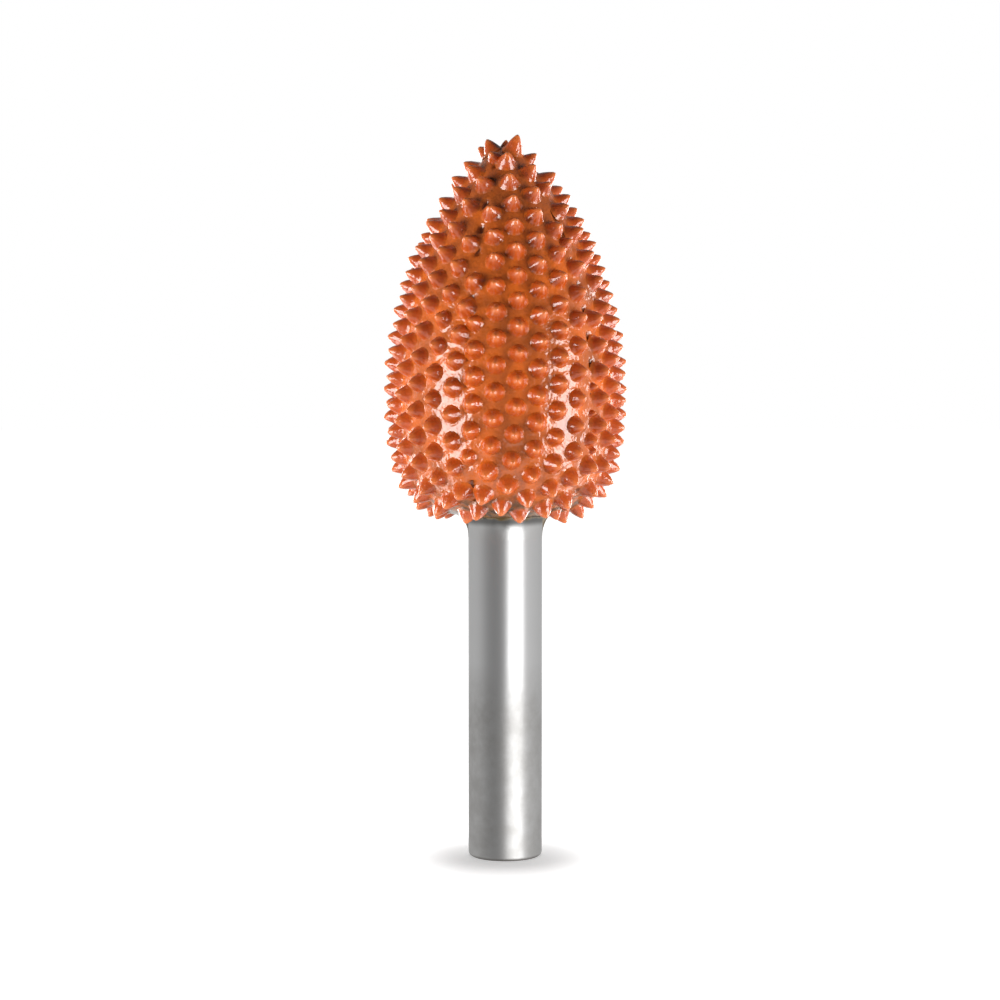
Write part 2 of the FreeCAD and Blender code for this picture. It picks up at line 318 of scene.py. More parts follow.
@dataclass(frozen=True)
class GroundSteel(Finish):
    """Tool steel, centreless ground.

    The grinding lines run round the pin, so what it mirrors is drawn out along it into even bands. Handling
    has left its lower half duller, with faint patches. The edge of its free end is painted dark, as the shade
    where it stands.
    """

    name: str = "ground_tool_steel"
    bare: str = "#E6E6E6"
    stain: str = "#C3C1BE"
    # painted shade: the edge of the free end darkened, as where it stands
    end_shade: str = "#4E443C"
    line_mm: float = 0.09
    line_stretch: float = 0.04
    line_depth_mm: float = 0.003
    stain_mm: float = 1.7
    stain_band: tuple[float, float] = (0.36, 0.64)
    stain_share: tuple[float, float] = (0.4, 0.75)
    clean_share: float = 0.1
    stained_below_mm: tuple[float, float] = (17.0, 13.0)
    end_shade_below_mm: tuple[float, float] = (0.36, 0.06)
    end_shade_most: float = 0.8
    rough: tuple[float, float] = (0.4, 0.58)
    drawn_out: float = 0.5

    def lay(self, tree: bpy.types.NodeTree, shader: bpy.types.Node) -> None:
        """Lays the stains, the painted shade on the edge of the free end and the grinding lines.

        Args:
            tree: The material's node tree.
            shader: Its Principled shader.
        """
        place = add_node(tree, "ShaderNodeTexCoord").outputs["Object"]
        height = add_node(tree, "ShaderNodeSeparateXYZ", {"Vector": place}).outputs["Z"]
        low = add_node(tree, "ShaderNodeMapRange", {
            "From Min": self.stained_below_mm[0] * MM, "From Max": self.stained_below_mm[1] * MM,
            "To Min": self.clean_share, "To Max": 1.0, "Value": height}).outputs["Result"]
        patches = add_node(tree, "ShaderNodeTexNoise", {
            "Scale": per_mm(self.stain_mm), "Detail": 6.0, "Roughness": 0.65, "Vector": place}).outputs["Fac"]
        patch_share = add_node(tree, "ShaderNodeMapRange", {
            "From Min": self.stain_band[0], "From Max": self.stain_band[1], "To Min": self.stain_share[0],
            "To Max": self.stain_share[1], "Value": patches}).outputs["Result"]
        stained = add_node(tree, "ShaderNodeMath", {
            "operation": "MULTIPLY", 0: patch_share, 1: low}).outputs["Value"]
        colour = add_node(tree, "ShaderNodeMix", {
            "data_type": "RGBA", 0: stained, 6: linear(self.bare), 7: linear(self.stain)}).outputs[2]
        # the edge of the free end is painted dark as shade
        end = add_node(tree, "ShaderNodeMapRange", {
            "interpolation_type": "SMOOTHSTEP", "From Min": self.end_shade_below_mm[0] * MM,
            "From Max": self.end_shade_below_mm[1] * MM, "To Max": self.end_shade_most,
            "Value": height}).outputs["Result"]
        darkened = add_node(tree, "ShaderNodeMix", {
            "data_type": "RGBA", 0: end, 6: colour, 7: linear(self.end_shade)}).outputs[2]
        stretch = add_node(tree, "ShaderNodeMapping", {
            "Scale": (self.line_stretch, self.line_stretch, 1.0), "Vector": place}).outputs["Vector"]
        lines = add_node(tree, "ShaderNodeTexNoise", {
            "Scale": per_mm(self.line_mm), "Detail": 4.0, "Vector": stretch}).outputs["Fac"]
        rough = add_node(tree, "ShaderNodeMapRange", {
            "To Min": self.rough[0], "To Max": self.rough[1], "Value": stained}).outputs["Result"]
        bump = add_node(tree, "ShaderNodeBump", {
            "Strength": 0.25, "Distance": self.line_depth_mm * MM, "Height": lines}).outputs["Normal"]
        round_axis = add_node(tree, "ShaderNodeTangent", {"direction_type": "RADIAL", "axis": "Z"})
        shader.inputs["Metallic"].default_value = 1.0
        shader.inputs["Anisotropic"].default_value = self.drawn_out
        shader.inputs["Anisotropic Rotation"].default_value = QUARTER_TURN
        tree.links.new(darkened, shader.inputs["Base Color"])
        tree.links.new(rough, shader.inputs["Roughness"])
        tree.links.new(bump, shader.inputs["Normal"])
        tree.links.new(round_axis.outputs["Tangent"], shader.inputs["Tangent"])


@dataclass(frozen=True)
class BrazeMetal(Finish):
    """Brazing alloy as it set.

    Its dull tan skin has olive patches and dark flux spots. On the shank it feathers out grey in front and
    behind, and stays tan in two narrow wings at the sides. Under the head the grey feather is painted darker
    as shade.
    """

    name: str = "brazing_alloy"
    tan: str = "#B4A386"
    olive: str = "#7B6338"
    flux: str = "#33271A"
    feather: str = "#E3E3E2"
    # painted shade: the grey feather darker at its top, under the head
    feather_shade: str = "#8F8E8C"
    under_head_shade_mm: tuple[float, float] = (28.6, 29.2)
    patch_mm: float = 1.5
    patch_band: tuple[float, float] = (0.42, 0.58)
    spot_mm: float = 0.55
    spot_band: tuple[float, float] = (0.6, 0.72)
    spot_most: float = 0.85
    spot_depth_mm: float = 0.03
    wave_mm: float = 1.2
    feather_mm: tuple[float, float] = (29.5, 29.2)
    wing_mm: tuple[float, float] = (3.1, 3.26)
    metallic: tuple[float, float] = (0.35, 1.0)
    rough: tuple[float, float] = (0.55, 0.41)
    drawn_out: float = 0.5

    def lay(self, tree: bpy.types.NodeTree, shader: bpy.types.Node) -> None:
        """Lays the patches, the flux spots and the grey feather edge, with painted shade on the feather under the
        head.

        Args:
            tree: The material's node tree.
            shader: Its Principled shader.
        """
        place = add_node(tree, "ShaderNodeTexCoord").outputs["Object"]
        parts = add_node(tree, "ShaderNodeSeparateXYZ", {"Vector": place})
        patches = add_node(tree, "ShaderNodeTexNoise", {
            "Scale": per_mm(self.patch_mm), "Detail": 3.0, "Vector": place}).outputs["Fac"]
        patch_share = add_node(tree, "ShaderNodeMapRange", {
            "From Min": self.patch_band[0], "From Max": self.patch_band[1],
            "Value": patches}).outputs["Result"]
        alloy = add_node(tree, "ShaderNodeMix", {
            "data_type": "RGBA", 0: patch_share, 6: linear(self.tan), 7: linear(self.olive)}).outputs[2]
        spots = add_node(tree, "ShaderNodeTexNoise", {
            "Scale": per_mm(self.spot_mm), "Detail": 2.0, "Vector": place}).outputs["Fac"]
        spot_share = add_node(tree, "ShaderNodeMapRange", {
            "From Min": self.spot_band[0], "From Max": self.spot_band[1], "To Max": self.spot_most,
            "Value": spots}).outputs["Result"]
        spotted = add_node(tree, "ShaderNodeMix", {
            "data_type": "RGBA", 0: spot_share, 6: alloy, 7: linear(self.flux)}).outputs[2]
        wave = add_node(tree, "ShaderNodeMath", {
            "operation": "MULTIPLY_ADD", 0: patches, 1: self.wave_mm * MM,
            2: -self.wave_mm / 2 * MM}).outputs["Value"]
        lifted = add_node(tree, "ShaderNodeMath", {
            "operation": "ADD", 0: parts.outputs["Z"], 1: wave}).outputs["Value"]
        thinned = add_node(tree, "ShaderNodeMapRange", {
            "interpolation_type": "SMOOTHSTEP", "From Min": self.feather_mm[0] * MM,
            "From Max": self.feather_mm[1] * MM, "Value": lifted}).outputs["Result"]
        off_middle = add_node(tree, "ShaderNodeMath", {
            "operation": "ABSOLUTE", 0: parts.outputs["X"]}).outputs["Value"]
        between = add_node(tree, "ShaderNodeMapRange", {
            "interpolation_type": "SMOOTHSTEP", "From Min": self.wing_mm[1] * MM,
            "From Max": self.wing_mm[0] * MM, "Value": off_middle}).outputs["Result"]
        feathered = add_node(tree, "ShaderNodeMath", {
            "operation": "MULTIPLY", 0: thinned, 1: between}).outputs["Value"]
        # the feather's top, under the head, is painted darker as shade
        under_head_shade_share = add_node(tree, "ShaderNodeMapRange", {
            "interpolation_type": "SMOOTHSTEP", "From Min": self.under_head_shade_mm[0] * MM,
            "From Max": self.under_head_shade_mm[1] * MM, "Value": parts.outputs["Z"]}).outputs["Result"]
        greyed = add_node(tree, "ShaderNodeMix", {
            "data_type": "RGBA", 0: under_head_shade_share, 6: linear(self.feather),
            7: linear(self.feather_shade)}).outputs[2]
        colour = add_node(tree, "ShaderNodeMix", {
            "data_type": "RGBA", 0: feathered, 6: spotted, 7: greyed}).outputs[2]
        metal = add_node(tree, "ShaderNodeMapRange", {
            "To Min": self.metallic[0], "To Max": self.metallic[1], "Value": feathered}).outputs["Result"]
        rough = add_node(tree, "ShaderNodeMapRange", {
            "To Min": self.rough[0], "To Max": self.rough[1], "Value": feathered}).outputs["Result"]
        bump = add_node(tree, "ShaderNodeBump", {
            "Strength": 0.5, "Distance": self.spot_depth_mm * MM, "Height": spots}).outputs["Normal"]
        round_axis = add_node(tree, "ShaderNodeTangent", {"direction_type": "RADIAL", "axis": "Z"})
        shader.inputs["Anisotropic"].default_value = self.drawn_out
        shader.inputs["Anisotropic Rotation"].default_value = QUARTER_TURN
        tree.links.new(round_axis.outputs["Tangent"], shader.inputs["Tangent"])
        tree.links.new(colour, shader.inputs["Base Color"])
        tree.links.new(metal, shader.inputs["Metallic"])
        tree.links.new(rough, shader.inputs["Roughness"])
        tree.links.new(bump, shader.inputs["Normal"])


def turned(profile: list[tuple[float, float]], segments: int) -> bmesh.types.BMesh:
    """A closed turned form about the axis of the burr.

    Args:
        profile: Radius and height of its corners in millimetres, from one end on the axis to the other.
        segments: Steps round the axis.

    Returns:
        A mesh in metres with its normals outwards.
    """
    bm = bmesh.new()
    corners = [bm.verts.new((radius * MM, 0.0, height * MM)) for radius, height in profile]
    edges = [bm.edges.new(pair) for pair in zip(corners, corners[1:])]
    bmesh.ops.spin(bm, geom=corners + edges, cent=(0.0, 0.0, 0.0), axis=(0.0, 0.0, 1.0), angle=math.tau,
                   steps=segments, use_merge=True)
    bmesh.ops.remove_doubles(bm, verts=bm.verts, dist=0.0005 * MM)
    bmesh.ops.recalc_face_normals(bm, faces=bm.faces)
    return bm


def finished_piece(name: str, bm: bmesh.types.BMesh, material: bpy.types.Material, node: Node) -> bpy.types.Object:
    """Makes a piece of the burr from its mesh.

    Args:
        name: Name of the piece.
        bm: Its mesh, which is freed.
        material: Its finish.
        node: The CAD node that it stands for.

    Returns:
        The piece, which rides on the burr.
    """
    for face in bm.faces:
        face.smooth = True
    mesh = bpy.data.meshes.new(name)
    bm.to_mesh(mesh)
    bm.free()
    mesh.materials.append(material)
    piece = bpy.data.objects.new(name, mesh)
    bpy.context.scene.collection.objects.link(piece)
    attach(piece, "root")
    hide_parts(node.value)
    log.info("%s: %d faces", name, len(mesh.polygons))
    return piece


@dataclass(frozen=True)
class EggOutline:
    """Outline of the head: shoulder, flank and nose are three arcs, each tangent to the next."""

    land_z: float = 29.6
    belly_radius: float = 9.28
    belly_height: float = 10.2
    shoulder: float = 6.0
    shoulder_sweep: float = math.radians(77.2)
    flank: float = 30.7
    nose: float = 2.2

    @cached_property
    def flank_r(self) -> float:
        """Radius at which the flank's centre lies, on the far side of the axis."""
        return self.belly_radius - self.flank

    @cached_property
    def flank_z(self) -> float:
        """Height of the belly."""
        return self.land_z + self.belly_height

    @cached_property
    def shoulder_z(self) -> float:
        """Height of the shoulder's centre."""
        return self.land_z + self.shoulder * math.sin(self.shoulder_sweep)

    @cached_property
    def shoulder_start(self) -> float:
        """Angle of the outline's normal where shoulder and flank meet."""
        return -math.asin((self.flank_z - self.shoulder_z) / (self.flank - self.shoulder))

    @cached_property
    def shoulder_r(self) -> float:
        """Radius of the shoulder's centre."""
        return self.flank_r + (self.flank - self.shoulder) * math.cos(self.shoulder_start)

    @cached_property
    def nose_start(self) -> float:
        """Angle of the outline's normal where flank and nose meet."""
        return math.acos(-self.flank_r / (self.flank - self.nose))

    @cached_property
    def nose_z(self) -> float:
        """Height of the nose's centre."""
        return self.flank_z + (self.flank - self.nose) * math.sin(self.nose_start)

    @cached_property
    def to_shoulder(self) -> float:
        """Way from the belly down to the shoulder, negative."""
        return self.shoulder_start * self.flank

    @cached_property
    def to_nose(self) -> float:
        """Way from the belly up to the nose."""
        return self.nose_start * self.flank

    @cached_property
    def top(self) -> float:
        """Way from the belly up to the apex."""
        return self.to_nose + (math.pi / 2 - self.nose_start) * self.nose

    @cached_property
    def bottom(self) -> float:
        """Way from the belly down to the land, negative."""
        return self.to_shoulder - (self.shoulder_sweep + self.shoulder_start) * self.shoulder

    def at(self, along: float) -> tuple[float, float, float]:
        """A point of the outline.

        Args:
            along: Way from the belly, up to the nose or down (negative) to the land.

        Returns:
            Its radius, its height and the angle of the normal above the level.
        """
        if along > self.to_nose:
            angle = self.nose_start + (along - self.to_nose) / self.nose
            return self.nose * math.cos(angle), self.nose_z + self.nose * math.sin(angle), angle
        if along > self.to_shoulder:
            angle = along / self.flank
            return (self.flank_r + self.flank * math.cos(angle),
                    self.flank_z + self.flank * math.sin(angle), angle)
        angle = self.shoulder_start + (along - self.to_shoulder) / self.shoulder
        return (self.shoulder_r + self.shoulder * math.cos(angle),
                self.shoulder_z + self.shoulder * math.sin(angle), angle)

    def along_at(self, height: float) -> float:
        """Way from the belly to the point of the outline at a height.

        Args:
            height: Height between the land and the apex.

        Returns:
            The way along the outline.
        """
        if height > self.at(self.to_nose)[1]:
            angle = math.asin(min(1.0, (height - self.nose_z) / self.nose))
            return self.to_nose + (angle - self.nose_start) * self.nose
        if height > self.at(self.to_shoulder)[1]:
            return math.asin((height - self.flank_z) / self.flank) * self.flank
        angle = math.asin(max(-1.0, (height - self.shoulder_z) / self.shoulder))
        return self.to_shoulder + (angle - self.shoulder_start) * self.shoulder


@dataclass(frozen=True)
class Thorn:
    """One thorn of the head: its foot on the skin, the way it points and how large it is."""

    foot: Vector
    out: Vector
    height: float
    width: float = 1.0
    gore: int = -1


@dataclass
class ThornPattern:
    """Staggered columns of thorns in each gore, small stray ones by the seams, and the crown on the nose."""

    outline: EggOutline = field(default_factory=EggOutline)
    gores: int = 5
    gore_azimuth: float = math.radians(16.0)
    row_pitch: float = 2.2
    column_pitch: float = 1.82
    column_lean: float = 0.055
    row_fall: float = 0.153
    root_radius: float = 0.82
    root_depth: float = 0.2
    root_gap: float = 0.04
    seam_reach: float = 0.35
    bare_collar: float = 5.1
    height: float = 1.3
    crown_radius: float = 1.1
    crown_azimuth: float = math.radians(38.0)
    crown_heights: tuple[float, ...] = (1.6, 1.25, 1.25)
    # azimuth and lean in degrees, and height, of the small thorns that crowd the crown
    crown_strays: tuple[tuple[float, float, float], ...] = (
        (-112.0, 46.0, 1.3), (180.0, 6.0, 0.8), (-28.0, 58.0, 1.05))
    crowd_widest: float = 0.9
    stray_least: float = 0.36
    stray_widest: float = 0.85
    # of each gore's pattern, across in columns and along in rows
    shifts: tuple[tuple[float, float], ...] = (
        (0.07, 0.09), (0.16, 0.25), (-0.19, 0.05), (0.08, 0.39), (0.45, 0.52))

    def crown(self) -> list[Thorn]:
        """The few longer thorns round the nose."""
        lean = math.asin(self.crown_radius / self.outline.nose)
        thorns = []
        for number, height in enumerate(self.crown_heights):
            turn = self.crown_azimuth + math.tau * number / len(self.crown_heights)
            out = outward(turn) * math.sin(lean) + UP * math.cos(lean)
            thorns.append(Thorn(UP * self.outline.nose_z + out * self.outline.nose, out, height))
        return thorns

    def crown_crowd(self) -> list[Thorn]:
        """The small thorns that crowd the crown, closer than full ones can stand."""
        thorns = []
        for azimuth, lean, height in self.crown_strays:
            tilt = math.radians(lean)
            out = outward(math.radians(azimuth)) * math.sin(tilt) + UP * math.cos(tilt)
            foot = UP * self.outline.nose_z + out * self.outline.nose
            thorns.append(Thorn(foot, out, height, min(self.crowd_widest, height / self.height)))
        return thorns

    def wanted(self, gore: int) -> list[tuple[float, Thorn]]:
        """Places of one gore's pattern.

        Args:
            gore: Number of the gore.

        Returns:
            How far inside its gore each thorn stands, and the thorn.
        """
        shift_across, shift_along = self.shifts[gore]
        half_gore = math.pi / self.gores
        middle = self.gore_azimuth + 2 * half_gore * gore
        columns = int(half_gore * self.outline.belly_radius / self.column_pitch) + 2
        rows = int(max(self.outline.top, -self.outline.bottom) / self.row_pitch) + 2
        places = []
        for number in range(-columns, columns + 1):
            for step in range(-rows, rows + 1):
                along = (shift_along + step + 0.5 * (number % 2)) * self.row_pitch - number * self.row_fall
                if not self.outline.bottom < along < self.outline.top:
                    continue
                radius, height, angle = self.outline.at(along)
                across = (shift_across + number) * self.column_pitch + self.column_lean * along
                inside = half_gore * radius - abs(across)
                on_collar = along < self.outline.to_shoulder and radius < self.bare_collar
                if inside < -self.seam_reach or on_collar:
                    continue
                out = outward(middle + across / radius)
                thorn = Thorn(out * radius + UP * height, out * math.cos(angle) + UP * math.sin(angle),
                              self.height, gore=gore)
                places.append((inside, thorn))
        return places

    def lay(self) -> list[Thorn]:
        """All thorns: where two would meet, the one nearer a seam is left out, or is a small stray one."""
        places = [place for gore in range(self.gores) for place in self.wanted(gore)]
        places.sort(key=lambda place: -place[0])
        thorns = self.crown()
        roots = [(thorn.foot - thorn.out * self.root_depth, self.root_radius) for thorn in thorns]
        left_out = []
        for _, thorn in places:
            root = thorn.foot - thorn.out * self.root_depth
            if all((root - other).length >= 2 * self.root_radius + self.root_gap for other, _ in roots):
                thorns.append(thorn)
                roots.append((root, self.root_radius))
            else:
                left_out.append((root, thorn))
        for root, thorn in left_out:
            room = min((root - other).length - radius for other, radius in roots)
            if room >= self.stray_least:
                width = min(self.stray_widest, room / self.root_radius)
                thorns.append(Thorn(thorn.foot, thorn.out, self.height * width, width, thorn.gore))
                roots.append((root, room))
        return thorns + self.crown_crowd()


@dataclass
class ToothedHead:
    """The head: an egg-shaped skin with its seams, and the thorns that stand on it, gore by gore."""

    pattern: ThornPattern = field(default_factory=ThornPattern)
    lacquer: GlossyLacquer = field(default_factory=GlossyLacquer)
    socket_radius: float = 2.93
    rings: int = 190
    segments: int = 340
    fillet: float = 0.11
    fillet_reach: float = 1.02
    seam_depth: float = 0.42
    seam_width: float = 0.27
    # the slots of a seam: how far they move on from gore to gore, how ragged they are, and the radii on the
    # nose between which they fade in
    slot_shift: float = 0.8
    slot_ragged: float = 1.6
    slot_fade: tuple[float, float] = (1.6, 3.0)
    skin_lump: float = 0.035
    skin_lump_size: float = 1.1
    skin_sunk: float = 0.02
    thorn_sides: int = 12
    # radius and height of a thorn's corners, from below its flared foot to its point
    thorn_rows: tuple[tuple[float, float], ...] = (
        (1.0, -0.12), (0.79, 0.1), (0.65, 0.42), (0.43, 0.84), (0.18, 1.18), (0.0, 1.3))
    tallness: tuple[float, float] = (0.9, 1.0)
    girth: tuple[float, float] = (0.95, 1.05)
    lean: float = 0.09
    swelling: float = 0.06
    # thorns that point down more steeply than this are shorter, by the shank
    steep: float = -0.86
    steep_tallness: float = 0.82
    seed: int = 11

    def build(self) -> list[bpy.types.Object]:
        """Builds the skin and the thorns of each gore.

        Returns:
            The pieces of the head.
        """
        material = self.lacquer.material()
        thorns = self.pattern.lay()
        draw = random.Random(self.seed)
        pieces = [finished_piece("head_skin", self.skin(thorns), material, Node.TOOTHED_HEAD)]
        for gore in range(-1, self.pattern.gores):
            name = "crown_thorns" if gore < 0 else f"gore_{gore + 1}_thorns"
            bm = self.thorn_field([thorn for thorn in thorns if thorn.gore == gore], draw)
            pieces.append(finished_piece(name, bm, material, Node.TOOTHED_HEAD))
        return pieces

    def skin(self, thorns: list[Thorn]) -> bmesh.types.BMesh:
        """The web between the thorns, raised round their feet and parted along the seams.

        Args:
            thorns: The thorns that stand on it.

        Returns:
            Its mesh.
        """
        outline = self.pattern.outline
        ways = [outline.bottom + (outline.top - outline.bottom) * ring / self.rings
                for ring in range(self.rings + 1)]
        profile = [(self.socket_radius, outline.land_z)] + [outline.at(way)[:2] for way in ways]
        bm = turned(profile, self.segments)
        feet = KDTree(len(thorns))
        for number, thorn in enumerate(thorns):
            feet.insert(thorn.foot, number)
        feet.balance()
        slot = bm.verts.layers.float.new("slot")
        for vert in bm.verts:
            place = vert.co / MM
            radius = math.hypot(place.x, place.y)
            if place.z <= outline.land_z + 0.001:
                continue
            along = outline.along_at(place.z)
            angle = outline.at(along)[2]
            turn = math.atan2(place.x, -place.y)
            _, number, gap = feet.find(place)
            near = math.exp(-(gap / (self.fillet_reach * thorns[number].width)) ** 2)
            gore_turn = math.tau / self.pattern.gores
            from_seam = (turn - self.pattern.gore_azimuth) % gore_turn - gore_turn / 2
            seam = math.exp(-(radius * from_seam / self.seam_width) ** 2)
            gore = (turn - self.pattern.gore_azimuth) // gore_turn
            row = math.sin(math.tau * (along + self.slot_shift * gore) / self.pattern.row_pitch)
            ragged = noise.noise(Vector((gore * 3.0, 0.0, along * 0.3)))
            broken = ease(row + self.slot_ragged * ragged, 0.0, 0.5)
            broken *= ease(radius, *self.slot_fade) * seam * (1.0 - near)
            # share of painted shade in the slots, read by the lacquer
            vert[slot] = broken
            relief = self.fillet * near - self.seam_depth * broken
            relief += self.skin_lump * noise.noise(place / self.skin_lump_size) - self.skin_sunk
            vert.co += (outward(turn) * math.cos(angle) + UP * math.sin(angle)) * relief * MM
        return bm

    def thorn_field(self, thorns: list[Thorn], draw: random.Random) -> bmesh.types.BMesh:
        """The thorns of one gore, each a little different.

        Args:
            thorns: The thorns to plant.
            draw: Source of the small differences.

        Returns:
            Their mesh, with the height of each point above the skin kept as an attribute.
        """
        stock = turned(list(self.thorn_rows), self.thorn_sides)
        full = self.thorn_rows[-1][1]
        mesh = bpy.data.meshes.new("thorn_stock")
        stock.to_mesh(mesh)
        stock.free()
        bm = bmesh.new()
        above = bm.verts.layers.float.new("above")
        for thorn in thorns:
            first = len(bm.verts)
            bm.from_mesh(mesh)
            bm.verts.ensure_lookup_table()
            grown = bm.verts[first:]
            tallness = thorn.height / full * draw.uniform(*self.tallness)
            width = thorn.width * draw.uniform(*self.girth)
            if thorn.out.z < self.steep:
                tallness *= self.steep_tallness
            lean = Vector((draw.uniform(-self.lean, self.lean), draw.uniform(-self.lean, self.lean), 0.0))
            upright = UP.rotation_difference(thorn.out).to_matrix().to_4x4()
            stand = Matrix.Translation(thorn.foot * MM) @ upright
            stand = stand @ Matrix.Rotation(draw.uniform(0.0, math.tau), 4, "Z")
            for vert in grown:
                place = vert.co / MM
                rise = max(0.0, place.z) / full
                vert[above] = rise
                swell = 1.0 + self.swelling * noise.noise(place * 1.7 + thorn.foot)
                place = Vector((place.x * width * swell, place.y * width * swell, place.z * tallness))
                vert.co = stand @ ((place + lean * rise * rise) * MM)
        bpy.data.meshes.remove(mesh)
        return bm


@dataclass
class Shank:
    """The ground pin, its spigot inside the head, and the rounded edge of its free end."""

    radius: float = 3.175
    ground_length: float = 27.7
    spigot_radius: float = 2.9
    spigot_top: float = 41.6
    spigot_lead: float = 0.4
    end_round: float = 0.38
    segments: int = 144
    steel: GroundSteel = field(default_factory=GroundSteel)

    def build(self) -> bpy.types.Object:
        """Turns the pin and rounds its free end.

        Returns:
            The shank.
        """
        profile = [(0.0, 0.0), (self.radius, 0.0), (self.radius, self.ground_length),
                   (self.spigot_radius, self.ground_length),
                   (self.spigot_radius, self.spigot_top - self.spigot_lead),
                   (self.spigot_radius - self.spigot_lead, self.spigot_top), (0.0, self.spigot_top)]
        bm = turned(profile, self.segments)
        rims = [edge for edge in bm.edges if edge.calc_face_angle(0.0) > math.radians(30)]
        rim = self.radius * MM * 0.99
        end = [edge for edge in rims if edge.verts[0].co.z < 0.1 * MM and edge.verts[0].co.xy.length > rim]
        bmesh.ops.bevel(bm, geom=end, offset=self.end_round * MM, offset_type="OFFSET", affect="EDGES",
                        segments=4, profile=0.5, material=-1)
        piece = finished_piece("shank_pin", bm, self.steel.material(), Node.SHANK)
        piece.data.set_sharp_from_angle(angle=math.radians(35))
        return piece


@dataclass
class BrazeRing:
    """The hollow-faced fillet of braze between the shank and the land of the head."""

    inner_radius: float = 2.93
    foot: float = 27.6
    land_z: float = 29.6
    face: tuple[tuple[float, float], ...] = (
        (3.18, 27.6), (3.2, 28.0), (3.26, 28.4), (3.36, 28.75), (3.5, 29.05), (3.7, 29.3), (3.95, 29.48),
        (4.19, 29.58))
    unevenness: float = 0.07
    # radii between which the unevenness begins, and between which it ends
    uneven_from: tuple[float, float] = (3.2, 3.5)
    uneven_to: tuple[float, float] = (4.05, 4.2)
    segments: int = 160
    metal: BrazeMetal = field(default_factory=BrazeMetal)

    def build(self) -> bpy.types.Object:
        """Turns the ring and makes its face uneven, as the braze set.

        Returns:
            The ring.
        """
        profile = [(self.inner_radius, self.foot), *self.face, (self.inner_radius, self.land_z),
                   (self.inner_radius, self.foot)]
        bm = turned(profile, self.segments)
        for vert in bm.verts:
            place = vert.co / MM
            radius = math.hypot(place.x, place.y)
            bulk = ease(radius, *self.uneven_from) * (1.0 - ease(radius, *self.uneven_to))
            swell = 1.0 + self.unevenness * bulk * noise.noise(place / 1.2)
            vert.co = Vector((vert.co.x * swell, vert.co.y * swell, vert.co.z))
        piece = finished_piece("braze_fillet", bm, self.metal.material(), Node.BRAZE_RING)
        piece.data.set_sharp_from_angle(angle=math.radians(50))
        return piece


@dataclass(frozen=True)
class Softbox:
    """A soft lamp that faces the burr, and lights one group of pieces alone."""

    name: str
    azimuth: float
    elevation: float
    distance: float
    width: float
    height: float
    radiance: float

    def build(self, aim: Vector, lit: bpy.types.Collection) -> None:
        """Hangs the lamp.

        Args:
            aim: The point that it faces, in millimetres.
            lit: The pieces that it lights.
        """
        lamp = bpy.data.lights.new(self.name, "AREA")
        lamp.shape = "RECTANGLE"
        lamp.size = self.width * MM
        lamp.size_y = self.height * MM
        lamp.energy = self.radiance * math.pi * self.width * self.height * MM * MM
        hung = bpy.data.objects.new(self.name, lamp)
        bpy.context.scene.collection.objects.link(hung)
        turn, rise = math.radians(self.azimuth), math.radians(self.elevation)
        back = outward(turn) * math.cos(rise) + UP * math.sin(rise)
        hung.location = (aim + back * self.distance) * MM
        hung.rotation_euler = back.to_track_quat("Z", "Y").to_euler()
        hung.visible_camera = False
        hung.light_linking.receiver_collection = lit
        log.info("%s hung", self.name)


def group(name: str, pieces: list[bpy.types.Object]) -> bpy.types.Collection:
    """Groups pieces for a lamp, outside the scene's own collections.

    Args:
        name: Name of the group.
        pieces: What it holds.

    Returns:
        The group.
    """
    held = bpy.data.collections.new(name)
    for piece in pieces:
        held.objects.link(piece)
    return held


